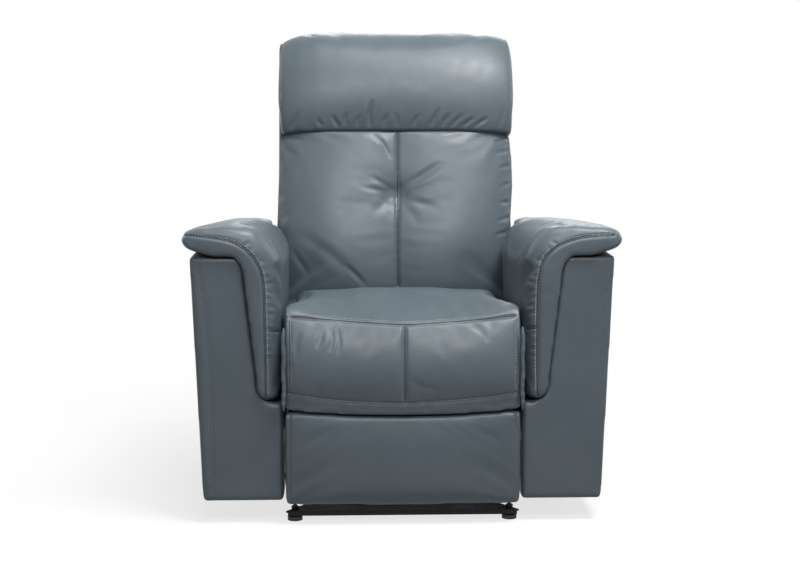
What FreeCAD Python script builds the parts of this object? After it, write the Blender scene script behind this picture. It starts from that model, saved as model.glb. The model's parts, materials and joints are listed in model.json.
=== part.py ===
import FreeCAD, Part
import math
import os

os.makedirs("parts", exist_ok=True)
V = FreeCAD.Vector

# Frame: millimetres, X to the viewer's right, Y backwards, Z up, floor at Z zero.
# Points in the side view are written (d, z), where d is the distance behind the seat front.

# Fits
PIVOT_PLAY = 0.3
SOFT_GAP = 0.5
SEAT_GAP = 3.0

# Seat
SEAT_HALF = 249.0
SEAT_UNDER = 301.6
SEAT_FRONT_Z = 440.0
SEAT_CROWN_Z = 466.0
SEAT_REAR_Z = 447.0
SEAT_LIP_Z = 241.0
LIP_RISE = 15.0
APRON_IN = 72.0
SEAT_BACK_GAP = 11.0
RAIL_H = 36.0
RAIL_W = 30.0
STRAP_T = 1.6
STRAP_W = 52.0
STRAP_PITCH = 72.0

# Arms
LEDGE_X = SEAT_HALF + 4.0
ARM_LOW_W = 172.0
ARM_TOP_W = 193.0
ARM_BOTTOM = 50.0
ARM_TOP = 573.0
ARM_FRONT = 40.0
ARM_REAR = 748.0
ARM_WALL = 12.0
LEDGE_Z = 262.0
LEDGE_END = 560.0
PAD_FRONT = 28.0
PAD_IN = SEAT_HALF + SEAT_GAP
PAD_T = 64.0
PAD_REAR_T = 44.0
PAD_ROUND = 16.0
PAD_TIP_OUT = 18.0
ARM_LEVEL = 110.0
ARM_DROP = 24.0

# Back, in its own plane: v runs up the back, w runs to the rear, both from the pivot
BACK_D = 600.0
BACK_Z = 250.0
BACK_TILT = 15.0
BACK_HALF = 287.0
HEAD_HALF = 293.0
BACK_FRONT_W = -88.0
FRAME_FRONT_W = -20.0
FRAME_REAR_W = 50.0
BACK_LOW_V = 52.0
HEAD_SEAM_V = 563.5
FRAME_TOP_V = 790.0
HEAD_TOP_V = 827.0
HEAD_DROP_LEFT = 26.0
HEAD_DROP_RIGHT = 16.0
BELLY_V = 182.0
TUFT_V = 403.0
BACK_PIN = 6.0
BACK_ARM = 160.0
BACK_ARM_R = 20.0
BACK_RAIL = 40.0

SHELL_CROWN = 28.0
SHELL_EDGE = 6.0

# The row origin lies midway between the seat front and the rearmost point of the back
TILT_SIN = math.sin(math.radians(BACK_TILT))
TILT_COS = math.cos(math.radians(BACK_TILT))
BACK_REACH = FRAME_TOP_V * TILT_SIN + (FRAME_REAR_W + SHELL_CROWN) * TILT_COS
ORIGIN_D = (BACK_D + BACK_REACH) / 2

# Chassis plates and the layers of the flat links inside them
ARM_STANDOFF = 21.0
PLATE_T = 4.0
LINK_T = 4.0
LINK_GAP = 2.0
PLATE_OUT = LEDGE_X - ARM_STANDOFF
PLATE_IN = PLATE_OUT - PLATE_T
PLATE_TOP = SEAT_UNDER - STRAP_T - RAIL_H
TUBE_R = 12.5
TUBE_WALL = 2.0
TUBE_BEHIND = 55.0
TUBE_AHEAD = 15.0
TUBE_RISE = 10.0
LINK_R = 9.0
LINK_PIN = 4.0

# Footrest linkage, closed position, as (d, z)
P1 = (103.0, 200.0)
P2 = (155.445, 70.194)
P3 = (95.0, 196.0)
Q1 = (130.9, 200.6)
R_ON_B = (179.74, 66.29)
S_ON_A2 = (200.54, 70.89)
T_ON_PANEL = (125.4, 194.8)
R_SLACK = 1.75
T_SLACK = 0.75
PANEL_HALF = 248.0
PANEL_FRONT = 8.0
PANEL_BACK = 62.0
BOARD_T = 18.0
PANEL_LOW = 47.0
PANEL_TOP = 238.0

# Glider
GLIDE_D = (250.0, 550.0)
GLIDE_TOP = 200.0
GLIDE_LEN = 110.0
GLIDE_PIN = 5.0
GLIDE_R = 11.0
UPRIGHT_T = 5.0

# Floor base and turntable
SWIVEL_D = 400.0
BASE_REACH = 345.0
BAR_DEPTH = 65.0
BAR_FRONT_HALF = 250.0
BAR_REAR_HALF = 204.0
BAR_TOP = 24.0
BAR_T = 4.0
LIP_LOW = 13.0
FOOT_X = 231.0
FOOT_IN = 20.0
FOOT_R = 16.0
FOOT_H = 12.0
STEM_R = 4.0
STEM_TOP = 43.0
BASE_RAIL_X = (130.0, 170.0)
RING_R = 100.0
RING_T = 12.0
TABLE_LOW = 42.0
TABLE_T = 4.0
CROSS_H = 12.0
KING_R = 8.0

# Release lever in the viewer's left arm
CUP_D = 315.0
CUP_Z = 395.0
CUP_R = 33.0
CABLE_D = 400.0
CABLE_Z = 210.0
CABLE_R = 2.5


def at(x, d, z):
    return V(x, d - ORIGIN_D, z)


def save(node, shape):
    shape.exportStep("parts/" + node + ".step")


def mirrored(shape):
    return shape.mirror(V(0, 0, 0), V(1, 0, 0))


def save_pair(name, shape):
    save(name + "_right", shape)
    save(name + "_left", mirrored(shape))


def box(x0, x1, d0, d1, z0, z1):
    return Part.makeBox(x1 - x0, d1 - d0, z1 - z0, at(x0, d0, z0))


def rod_x(x0, x1, point, r):
    return Part.makeCylinder(r, x1 - x0, at(x0, point[0], point[1]), V(1, 0, 0))


def rod_z(x, d, z0, z1, r):
    return Part.makeCylinder(r, z1 - z0, at(x, d, z0), V(0, 0, 1))


def outline(path, place):
    # a step of two numbers is a line to that point, a step of four is an arc by the first to the second
    edges = []
    first = place(*path[0])
    here = first
    for step in path[1:]:
        there = place(*step[-2:])
        if len(step) == 4:
            edges.append(Part.Arc(here, place(*step[:2]), there).toShape())
        else:
            edges.append(Part.makeLine(here, there))
        here = there
    if here.distanceToPoint(first) > 1e-6:
        edges.append(Part.makeLine(here, first))
    return Part.Wire(edges)


def prism_x(x0, x1, path):
    face = Part.Face(outline(path, lambda d, z: at(x0, d, z)))
    return face.extrude(V(x1 - x0, 0, 0))


def prism_y(d0, d1, path):
    face = Part.Face(outline(path, lambda x, z: at(x, d0, z)))
    return face.extrude(V(0, d1 - d0, 0))


def prism_z(z0, z1, path):
    face = Part.Face(outline(path, lambda x, d: at(x, d, z0)))
    return face.extrude(V(0, 0, z1 - z0))


def bar_x(x0, x1, p, q, r):
    # flat bar with round ends between two pivots
    length = math.hypot(q[0] - p[0], q[1] - p[1])
    ud = (q[0] - p[0]) / length * r
    uz = (q[1] - p[1]) / length * r
    path = [(p[0] + uz, p[1] - ud), (q[0] + uz, q[1] - ud)]
    path.append((q[0] + ud, q[1] + uz, q[0] - uz, q[1] + ud))
    path.append((p[0] - uz, p[1] + ud))
    path.append((p[0] - ud, p[1] - uz, p[0] + uz, p[1] - ud))
    return prism_x(x0, x1, path)


def layer(n):
    # inner and outer face of link layer n, counted inwards from the chassis plate
    outer = PLATE_IN - LINK_GAP - n * (LINK_T + LINK_GAP)
    return outer - LINK_T, outer


def back_place(shape):
    # from the plane of the back to the upright frame
    shape.rotate(V(0, 0, 0), V(1, 0, 0), -BACK_TILT)
    shape.translate(at(0, BACK_D, BACK_Z))
    return shape


def back_front_d(z):
    # where the plain front plane of the back stands at height z
    v = (z - BACK_Z + BACK_FRONT_W * TILT_SIN) / TILT_COS
    return BACK_D + v * TILT_SIN + BACK_FRONT_W * TILT_COS


SWELL = (0.0, 0.4, 0.65, 0.82, 0.92, 0.98, 1.0)


def stations(half):
    # places across a cushion, closer together at its drawn-in ends, with their share of the half width
    shares = [-t for t in reversed(SWELL[1:])] + list(SWELL)
    return [(half * t, t) for t in shares]


# Floor base
BAR_D = SWIVEL_D - BASE_REACH
FOOT_D = BAR_D + FOOT_IN
SWIVEL_LINE = V(0, SWIVEL_D - ORIGIN_D, 0)


def to_rear(shape):
    return shape.mirror(SWIVEL_LINE, V(0, 1, 0))


def base_bar():
    rear = BAR_D + BAR_DEPTH
    path = [(-BAR_FRONT_HALF, BAR_D), (BAR_FRONT_HALF, BAR_D), (BAR_REAR_HALF, rear), (-BAR_REAR_HALF, rear)]
    plate = prism_z(BAR_TOP - BAR_T, BAR_TOP, path)
    half = BAR_FRONT_HALF - BAR_T
    shape = plate.fuse(box(-half, half, BAR_D, BAR_D + BAR_T, LIP_LOW, BAR_TOP - BAR_T))
    for x in (-FOOT_X, FOOT_X):
        shape = shape.cut(rod_z(x, FOOT_D, 0, STEM_TOP, STEM_R + PIVOT_PLAY))
    return shape.removeSplitter()


def base_rail():
    front = BAR_D + BAR_DEPTH
    return box(BASE_RAIL_X[0], BASE_RAIL_X[1], front, 2 * SWIVEL_D - front, FOOT_H, BAR_TOP)


def foot():
    pad = Part.makeCylinder(FOOT_R, FOOT_H - 3, at(FOOT_X, FOOT_D, 0), V(0, 0, 1))
    crown = Part.makeCone(FOOT_R, FOOT_R - 5, 3, at(FOOT_X, FOOT_D, FOOT_H - 3), V(0, 0, 1))
    stem = rod_z(FOOT_X, FOOT_D, FOOT_H - 1, STEM_TOP, STEM_R)
    return pad.fuse(crown).fuse(stem).removeSplitter()


def hexagon(x, d, r):
    angles = [math.radians(60 * k) for k in range(6)]
    return [(x + r * math.cos(a), d + r * math.sin(a)) for a in angles]


def lock_nut():
    nut = prism_z(BAR_TOP, BAR_TOP + 6, hexagon(FOOT_X, FOOT_D, 2 * STEM_R))
    return nut.cut(rod_z(FOOT_X, FOOT_D, 0, STEM_TOP, STEM_R + PIVOT_PLAY))


def swivel_base_plate():
    half = BASE_RAIL_X[1] + 5
    plate = box(-half, half, SWIVEL_D - half, SWIVEL_D + half, BAR_TOP, BAR_TOP + TABLE_T)
    ring = rod_z(0, SWIVEL_D, BAR_TOP + TABLE_T, TABLE_LOW - 3, RING_R + RING_T)
    ring = ring.cut(rod_z(0, SWIVEL_D, BAR_TOP, TABLE_LOW, RING_R))
    hole = rod_z(0, SWIVEL_D, 0, TABLE_LOW, KING_R + PIVOT_PLAY)
    return plate.fuse(ring).cut(hole).removeSplitter()


def king_bolt():
    shaft = rod_z(0, SWIVEL_D, BAR_TOP - 8, TABLE_LOW + TABLE_T + 1, KING_R)
    head = rod_z(0, SWIVEL_D, TABLE_LOW + TABLE_T + 0.8, TABLE_LOW + TABLE_T + 7, 2 * KING_R)
    nut = prism_z(BAR_TOP - 8, BAR_TOP, hexagon(0, SWIVEL_D, 2 * KING_R))
    return shaft.fuse(head).fuse(nut).removeSplitter()


def swivel_top_plate():
    half = RING_R + 2 * RING_T
    reach = (GLIDE_D[1] - GLIDE_D[0]) / 2 + GLIDE_R + 4
    plate = box(-half, half, SWIVEL_D - reach, SWIVEL_D + reach, TABLE_LOW, TABLE_LOW + TABLE_T)
    ring = rod_z(0, SWIVEL_D, BAR_TOP + TABLE_T + 1, TABLE_LOW, RING_R - 2 * PIVOT_PLAY)
    ring = ring.cut(rod_z(0, SWIVEL_D, BAR_TOP, TABLE_LOW, RING_R - RING_T))
    hole = rod_z(0, SWIVEL_D, TABLE_LOW - 1, TABLE_LOW + TABLE_T + 1, KING_R + PIVOT_PLAY)
    return plate.fuse(ring).cut(hole).removeSplitter()


# Glider: two brackets on the turntable carry the chassis on four hanging links
LINK_X0 = PLATE_OUT + PLATE_T
LINK_X1 = LINK_X0 + LINK_T
UPRIGHT_X1 = LEDGE_X - 4.0
UPRIGHT_X0 = UPRIGHT_X1 - UPRIGHT_T


def glider_bracket(d):
    low = TABLE_LOW + TABLE_T
    reach = GLIDE_R + 4
    shape = box(-UPRIGHT_X1, UPRIGHT_X1, d - reach, d + reach, low, low + CROSS_H)
    post = box(UPRIGHT_X0, UPRIGHT_X1, d - reach, d + reach, low, GLIDE_TOP)
    post = post.fuse(rod_x(UPRIGHT_X0, UPRIGHT_X1, (d, GLIDE_TOP), reach))
    post = post.fuse(rod_x(LINK_X0, UPRIGHT_X0 + 1, (d, GLIDE_TOP), GLIDE_PIN))
    return shape.fuse(post).fuse(mirrored(post)).removeSplitter()


def glide_link(d):
    low = (d, GLIDE_TOP - GLIDE_LEN)
    shape = bar_x(LINK_X0, LINK_X1, low, (d, GLIDE_TOP), GLIDE_R)
    for point in (low, (d, GLIDE_TOP)):
        shape = shape.cut(rod_x(LINK_X0 - 1, LINK_X1 + 1, point, GLIDE_PIN + PIVOT_PLAY))
    return shape


# Chassis
def side_plate():
    low = GLIDE_TOP - GLIDE_LEN - 15
    web = P1[1] - 18
    rear = BACK_D + 25
    path = [(P1[0] - 18, web), (P1[0] - 18, PLATE_TOP), (rear, PLATE_TOP), (rear, BACK_Z - 20)]
    path += [(GLIDE_D[1] + 25, low), (GLIDE_D[1] - 25, low), (GLIDE_D[1] - 50, web - 12)]
    path += [(GLIDE_D[0] + 50, web - 12), (GLIDE_D[0] + 25, low), (GLIDE_D[0] - 25, low)]
    path.append((GLIDE_D[0] - 60, web))
    shape = prism_x(PLATE_IN, PLATE_OUT, path)
    shape = shape.fuse(rod_x(layer(0)[0], PLATE_IN + 1, P1, LINK_PIN))
    shape = shape.fuse(rod_x(layer(2)[0], PLATE_IN + 1, Q1, LINK_PIN))
    shape = shape.fuse(rod_x(layer(0)[0], PLATE_IN + 1, (BACK_D, BACK_Z), BACK_PIN))
    for d in GLIDE_D:
        shape = shape.fuse(rod_x(PLATE_OUT - 1, LINK_X1, (d, GLIDE_TOP - GLIDE_LEN), GLIDE_PIN))
    return shape.removeSplitter()


def chassis_tube(d):
    point = (d, P1[1] + TUBE_RISE)
    tube = rod_x(-PLATE_IN, PLATE_IN, point, TUBE_R)
    return tube.cut(rod_x(-PLATE_IN - 1, PLATE_IN + 1, point, TUBE_R - TUBE_WALL))


def seat_frame():
    half = PLATE_OUT + 2
    front = APRON_IN + 3
    rear = back_front_d(SEAT_UNDER) - SEAT_BACK_GAP
    low = PLATE_TOP
    outer = box(-half, half, front, rear, low, low + RAIL_H)
    inner = box(-half + RAIL_W, half - RAIL_W, front + RAIL_W, rear - RAIL_W, low - 1, low + RAIL_H + 1)
    return outer.cut(inner)


def seat_webbing():
    z0 = PLATE_TOP + RAIL_H
    front = APRON_IN + 8
    rear = back_front_d(SEAT_UNDER) - SEAT_BACK_GAP - 5
    straps = []
    for k in (-2, -1, 0, 1, 2):
        x = STRAP_PITCH * k
        straps.append(box(x - STRAP_W / 2, x + STRAP_W / 2, front, rear, z0, z0 + STRAP_T))
    half = PLATE_OUT - 4
    for k in (1, 2, 3, 4):
        d = front + (rear - front) * k / 5
        straps.append(box(-half, half, d - STRAP_W / 2, d + STRAP_W / 2, z0, z0 + STRAP_T))
    shape = straps[0]
    for strap in straps[1:]:
        shape = shape.fuse(strap)
    return shape.removeSplitter()


def seat_section(x, inset, lip, front, crown, rear):
    rear_top = back_front_d(rear) - SEAT_BACK_GAP
    rear_low = back_front_d(SEAT_UNDER) - SEAT_BACK_GAP
    path = [(12 + inset, lip), (inset, (lip + front) / 2, 4 + inset, front - 22)]
    path.append((11 + inset, front - 2, 40 + inset, front + 9))
    path.append((280, crown, rear_top, rear))
    path += [(rear_low, SEAT_UNDER), (APRON_IN, SEAT_UNDER), (APRON_IN, lip + 8)]
    return outline(path, lambda d, z: at(x, d, z))


def groove_x(stations, half, reach):
    # shallow sewn channel running across, each station is (x, d of its floor, z)
    wires = []
    for x, d, z in stations:
        path = [(d, z), (d - reach, z + half), (d - reach, z - half)]
        wires.append(outline(path, lambda a, b: at(x, a, b)))
    return Part.makeLoft(wires, True, True)


def seat_cushion():
    wires = []
    for x, t in stations(SEAT_HALF):
        z = [SEAT_LIP_Z + LIP_RISE * t ** 2, SEAT_FRONT_Z + 10 * t ** 2]
        z += [SEAT_CROWN_Z - 26 * t ** 4, SEAT_REAR_Z - 36 * t ** 4]
        wires.append(seat_section(x, 12 * t ** 8, *z))
    shape = Part.makeLoft(wires, True, True)
    edge = SEAT_HALF + 3
    z = SEAT_FRONT_Z
    shape = shape.cut(groove_x([(-edge, 29, z + 10), (0, 16, z), (edge, 29, z + 10)], 5, 14))
    z = SEAT_LIP_Z + 28
    shape = shape.cut(groove_x([(-edge, 24, z + 10), (0, 11, z), (edge, 24, z + 10)], 4, 16))
    path = [(-3.5, -6), (3.5, -6), (0, 4.5)]
    return shape.cut(prism_z(SEAT_LIP_Z + 20, SEAT_FRONT_Z - 3, path))


# Arms, drawn for the viewer's right
ARM_OUT_LOW = LEDGE_X + ARM_LOW_W
ARM_OUT_TOP = LEDGE_X + ARM_TOP_W
WALL_LOW_X = LEDGE_X + 55
WALL_TOP_X = LEDGE_X + 85
WALL_LOW_Z = LEDGE_Z + 50


def arm_box_path():
    path = [(LEDGE_X, ARM_BOTTOM), (LEDGE_X, LEDGE_Z), (LEDGE_X + 13, LEDGE_Z)]
    path.append((LEDGE_X + 42, LEDGE_Z + 12, WALL_LOW_X, WALL_LOW_Z))
    path += [(WALL_TOP_X, ARM_TOP), (ARM_OUT_TOP, ARM_TOP), (ARM_OUT_LOW, ARM_BOTTOM)]
    return path


def arm_drop(d):
    # the arm is level at the front and falls towards the rear
    return ARM_DROP * max(0.0, d - ARM_LEVEL) / (ARM_REAR - ARM_LEVEL)


def above_arm(depth):
    # everything higher than the sloping arm top less the given depth
    z = ARM_TOP - depth
    rear = ARM_REAR + ARM_WALL
    path = [(0, z), (ARM_LEVEL, z), (rear, z - arm_drop(rear)), (rear, z + ARM_DROP), (0, z + ARM_DROP)]
    return prism_x(LEDGE_X - ARM_WALL, ARM_OUT_TOP + ARM_WALL, path)


def arm_outer_x(z):
    return ARM_OUT_LOW + (ARM_TOP_W - ARM_LOW_W) * (z - ARM_BOTTOM) / (ARM_TOP - ARM_BOTTOM)


def cavity_path(inner, low, play):
    t = ARM_WALL + play
    foot_x = WALL_LOW_X + t + 2
    path = [(arm_outer_x(low) - t - 1, low), (arm_outer_x(ARM_TOP - t) - t - 1, ARM_TOP - t)]
    path += [(WALL_TOP_X + t, ARM_TOP - t), (foot_x, WALL_LOW_Z + 4), (foot_x, LEDGE_Z - t)]
    if inner:
        path += [(LEDGE_X + t, LEDGE_Z - t), (LEDGE_X + t, low)]
    else:
        path += [(foot_x, low)]
    return path


def arm_cover():
    shape = prism_y(ARM_FRONT, ARM_REAR, arm_box_path())
    rim = [e for e in shape.Edges if e.BoundBox.YMax < ARM_FRONT - ORIGIN_D + 0.1]
    shape = shape.makeFillet(6.0, rim)
    shape = shape.cut(box(LEDGE_X - 1, WALL_LOW_X + 2, LEDGE_END, ARM_REAR + 1, 0, WALL_LOW_Z))
    shape = shape.cut(above_arm(0))
    low = ARM_BOTTOM - ARM_WALL
    hollow = prism_y(ARM_FRONT + ARM_WALL, LEDGE_END - ARM_WALL, cavity_path(True, low, 0))
    shape = shape.cut(hollow.cut(above_arm(ARM_WALL)))
    hollow = prism_y(LEDGE_END - ARM_WALL - 1, ARM_REAR - ARM_WALL, cavity_path(False, low, 0))
    return shape.cut(hollow.cut(above_arm(ARM_WALL)))


def arm_frame():
    low = ARM_BOTTOM + ARM_WALL
    front = ARM_FRONT + ARM_WALL
    rear = ARM_REAR - ARM_WALL
    shape = prism_y(front, front + BOARD_T, cavity_path(True, low, SOFT_GAP))
    rear_board = prism_y(rear - BOARD_T, rear, cavity_path(False, low, SOFT_GAP))
    shape = shape.fuse(rear_board.cut(above_arm(ARM_WALL + SOFT_GAP)))
    x0 = WALL_LOW_X + ARM_WALL + 8
    shape = shape.fuse(box(x0, x0 + 45, front, rear, low, low + 22))
    x0 = WALL_TOP_X + ARM_WALL + 6
    top = ARM_TOP - ARM_WALL - SOFT_GAP
    fall = arm_drop(rear)
    path = [(front, top), (ARM_LEVEL, top), (rear, top - fall)]
    path += [(rear, top - fall - BOARD_T), (ARM_LEVEL, top - BOARD_T), (front, top - BOARD_T)]
    shape = shape.fuse(prism_x(x0, x0 + 60, path))
    wall = LEDGE_X + ARM_WALL
    plank = box(wall, wall + BOARD_T, front, LEDGE_END - ARM_WALL - 1, low, LEDGE_Z - ARM_WALL - SOFT_GAP)
    return shape.fuse(plank).removeSplitter()


def pad_section(d, shrink):
    g = SOFT_GAP
    k = shrink
    drop = arm_drop(d)
    thick = PAD_T - (PAD_T - PAD_REAR_T) * drop / ARM_DROP
    under = ARM_TOP - drop + g
    top = ARM_TOP - drop + thick - k
    tip_x = ARM_OUT_TOP + PAD_TIP_OUT - k
    tip_z = under + 0.4 * thick
    path = [(PAD_IN + k, LEDGE_Z + 14 + k), (LEDGE_X + 10 - g, LEDGE_Z + 3 + k)]
    path.append((LEDGE_X + 39 - g, LEDGE_Z + 15 + k, WALL_LOW_X - 3 - g, WALL_LOW_Z + 3 + k))
    path += [(WALL_TOP_X - 3 - g, under), (ARM_OUT_TOP - 14, under)]
    path.append((ARM_OUT_TOP + 8 - k, under + 7, tip_x, tip_z))
    path.append((ARM_OUT_TOP - 20, top - 8, WALL_TOP_X + 8, top))
    path.append((PAD_IN + 22 + k, top - 26, PAD_IN + k, top - 92))
    return outline(path, lambda x, z: at(x, d, z))


def arm_pad():
    rear = ARM_REAR - 8
    rows = [(PAD_FRONT, 9), (PAD_FRONT + PAD_ROUND, 0), (ARM_LEVEL, 0), (rear - PAD_ROUND, 0), (rear, 9)]
    shape = None
    for a, b in zip(rows[:-1], rows[1:]):
        piece = Part.makeLoft([pad_section(*a), pad_section(*b)], True, True)
        shape = piece if shape is None else shape.fuse(piece)
    half = BACK_HALF + 12
    gap = BACK_FRONT_W - 10
    block = Part.makeBox(2 * half, BACK_D, 2 * FRAME_TOP_V, V(-half, gap, -BACK_Z))
    return shape.cut(back_place(block)).removeSplitter()


def arm_bracket():
    x0 = LEDGE_X - 3
    shape = box(x0, LEDGE_X, CABLE_D - 60, CABLE_D + 60, P1[1] - 50, P1[1] + 40)
    for d in (CABLE_D - 35, CABLE_D + 35):
        shape = shape.fuse(rod_x(PLATE_OUT, x0 + 1, (d, P1[1] + 15), 9))
    return shape.removeSplitter()


# Release lever, cup, cable and latch, drawn for the viewer's right and mirrored
CUP_X1 = arm_outer_x(CUP_Z) - 2
CUP_X0 = CUP_X1 - 30
LEVER_PIN = 3.0
LEVER_D = CUP_D - 20
LEVER_X = CUP_X1 - 12


def cable_hole(x0, x1):
    return rod_x(x0, x1, (CABLE_D, CABLE_Z), 2 * CABLE_R)


def release_cup():
    point = (CUP_D, CUP_Z)
    shape = rod_x(CUP_X0, CUP_X1, point, CUP_R).cut(rod_x(CUP_X0 + 3, CUP_X1 + 1, point, CUP_R - 3))
    reach = math.sqrt((CUP_R - 2) ** 2 - (CUP_D - LEVER_D) ** 2)
    return shape.fuse(rod_z(LEVER_X, LEVER_D, CUP_Z - reach, CUP_Z + reach, LEVER_PIN)).removeSplitter()


def release_lever():
    half = 14.0
    knuckle = rod_z(LEVER_X, LEVER_D, CUP_Z - half, CUP_Z + half, LEVER_PIN + 3)
    paddle = box(LEVER_X - 2.5, LEVER_X + 2.5, LEVER_D, CUP_D + CUP_R - 10, CUP_Z - half, CUP_Z + half)
    hole = rod_z(LEVER_X, LEVER_D, CUP_Z - half - 1, CUP_Z + half + 1, LEVER_PIN + PIVOT_PLAY)
    return knuckle.fuse(paddle).cut(hole).removeSplitter()


LATCH_X1 = PLATE_OUT + 8


def latch_housing():
    return box(PLATE_OUT, LATCH_X1, CABLE_D - 15, CABLE_D + 15, CABLE_Z - 12, CABLE_Z + 14)


def release_cable():
    start = at(CUP_X0, CUP_D, CUP_Z)
    end = at(LATCH_X1, CABLE_D, CABLE_Z)
    knots = [start, at(CUP_X0 - 22, CUP_D + 8, CUP_Z - 14), at(WALL_LOW_X + 48, CABLE_D - 24, LEDGE_Z + 50)]
    knots += [at(WALL_LOW_X + 20, CABLE_D - 6, CABLE_Z + 22), at(LEDGE_X + 40, CABLE_D, CABLE_Z + 2)]
    knots += [at(LEDGE_X + 10, CABLE_D, CABLE_Z), end]
    curve = Part.BSplineCurve()
    curve.interpolate(knots)
    spine = Part.Wire([curve.toShape()])
    circle = Part.Circle(start, curve.tangent(curve.FirstParameter)[0], CABLE_R)
    return Part.Wire([spine.Edges[0]]).makePipeShell([Part.Wire([circle.toShape()])], True, False)


# Back, drawn in its own plane and leaned back at the end
def local_box(x0, x1, w0, w1, v0, v1):
    return Part.makeBox(x1 - x0, w1 - w0, v1 - v0, V(x0, w0, v0))


FRAME_HALF = layer(0)[0]


def back_bracket():
    x0, x1 = layer(0)
    d, z = BACK_D, BACK_Z
    shape = bar_x(x0, x1, (d, z), (d, z + BACK_ARM), BACK_ARM_R)
    shape = shape.cut(rod_x(x0 - 1, x1 + 1, (d, z), BACK_PIN + PIVOT_PLAY))
    shape.rotate(at(0, d, z), V(1, 0, 0), -BACK_TILT)
    return shape


def back_frame():
    a, b = FRAME_FRONT_W, FRAME_REAR_W
    t = BACK_RAIL
    low = BACK_LOW_V - 17
    shape = local_box(FRAME_HALF - t, FRAME_HALF, a, b, low, FRAME_TOP_V)
    shape = shape.fuse(local_box(-FRAME_HALF, -FRAME_HALF + t, a, b, low, FRAME_TOP_V))
    for v in (BACK_LOW_V + t / 2, HEAD_SEAM_V - t, FRAME_TOP_V - t):
        shape = shape.fuse(local_box(-FRAME_HALF, FRAME_HALF, a, b, v, v + t))
    return back_place(shape.removeSplitter())


def back_webbing():
    w0 = FRAME_FRONT_W - 2
    low = BACK_LOW_V + BACK_RAIL / 2 + 5
    high = FRAME_TOP_V - BACK_RAIL / 4
    straps = []
    for x in (-1.3 * STRAP_PITCH, 1.3 * STRAP_PITCH):
        straps.append(local_box(x - STRAP_W / 2, x + STRAP_W / 2, w0, FRAME_FRONT_W, low, high))
    pitch = (high - low) / 6
    for k in range(6):
        v = low + pitch * (k + 0.5) - STRAP_W / 2
        straps.append(local_box(-FRAME_HALF, FRAME_HALF, w0, FRAME_FRONT_W, v, v + STRAP_W))
    shape = straps[0]
    for strap in straps[1:]:
        shape = shape.fuse(strap)
    return back_place(shape.removeSplitter())


CUSHION_REAR_W = FRAME_FRONT_W - 2


def back_section(v, half, edge, crown, valley):
    w = BACK_FRONT_W
    path = [(-half + 6, CUSHION_REAR_W), (half - 6, CUSHION_REAR_W)]
    path.append((half, CUSHION_REAR_W - 20, half - 10, w + edge))
    path.append((half * 0.55, w + crown, 0, w + valley))
    path.append((-half * 0.55, w + crown, -half + 10, w + edge))
    path.append((-half, CUSHION_REAR_W - 20, -half + 6, CUSHION_REAR_W))
    return outline(path, lambda x, y: V(x, y, v))


def back_cushion():
    h = BACK_HALF
    rows = [(BACK_LOW_V, h - 8, 26, 12, 14), (BELLY_V, h, 16, -4, 4), (TUFT_V, h, 18, -2, 8)]
    rows.append((HEAD_SEAM_V, h - 3, 24, 6, 10))
    shape = Part.makeLoft([back_section(*row) for row in rows], True, False)
    tuft = Part.makeSphere(46, V(0, BACK_FRONT_W - 30, TUFT_V))
    return back_place(shape.cut(tuft))


def head_section(x, drop, draw):
    low = HEAD_SEAM_V + SOFT_GAP
    w = BACK_FRONT_W
    top = HEAD_TOP_V - drop
    rim = FRAME_TOP_V + 2
    path = [(CUSHION_REAR_W, low), (w + 8 + draw, low)]
    path.append((w - 14 + draw, low + 110, w + 16 + draw, top - 34))
    path.append((w + 38 + draw, top - 9, w + 78, top))
    path.append((FRAME_REAR_W + 6 - draw, rim + 0.72 * (top - rim), FRAME_REAR_W + 24 - draw, rim))
    path += [(CUSHION_REAR_W, rim)]
    return outline(path, lambda y, z: V(x, y, z))


def head_cushion():
    wires = []
    for x, t in stations(HEAD_HALF):
        drop = HEAD_DROP_LEFT if t < 0 else HEAD_DROP_RIGHT
        wires.append(head_section(x, drop * t ** 6, 20 * t ** 6))
    return back_place(Part.makeLoft(wires, True, True))


def back_outer_shell():
    h = BACK_HALF - 2
    t = ARM_WALL
    rear = FRAME_REAR_W
    path = [(h, CUSHION_REAR_W), (h, rear + SHELL_EDGE), (0, rear + SHELL_CROWN, -h, rear + SHELL_EDGE)]
    path.append((-h, CUSHION_REAR_W))
    path += [(-h + t, CUSHION_REAR_W), (-h + t, rear), (h - t, rear), (h - t, CUSHION_REAR_W)]
    low = 30.0
    shape = Part.Face(outline(path, lambda x, y: V(x, y, low))).extrude(V(0, 0, FRAME_TOP_V - low))
    tail = [(h, rear), (h, rear + SHELL_EDGE), (0, rear + SHELL_CROWN, -h, rear + SHELL_EDGE), (-h, rear)]
    skirt = Part.Face(outline(tail, lambda x, y: V(x, y, -10))).extrude(V(0, 0, low + 10))
    return back_place(shape.fuse(skirt).removeSplitter())


# Footrest linkage, drawn for the viewer's right
def footrest_link_a():
    x0, x1 = layer(0)
    shape = bar_x(x0, x1, P1, P2, LINK_R + 1)
    shape = shape.cut(rod_x(x0 - 1, x1 + 1, P1, LINK_PIN + PIVOT_PLAY))
    return shape.fuse(rod_x(layer(1)[0], x0 + 1, P2, LINK_PIN)).removeSplitter()


def footrest_link_b():
    x0, x1 = layer(1)
    shape = bar_x(x0, x1, P2, P3, LINK_R).fuse(bar_x(x0, x1, P2, R_ON_B, LINK_R))
    for point in (P2, P3):
        shape = shape.cut(rod_x(x0 - 1, x1 + 1, point, LINK_PIN + PIVOT_PLAY))
    return shape.fuse(rod_x(layer(2)[0], x0 + 1, R_ON_B, LINK_PIN)).removeSplitter()


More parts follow.
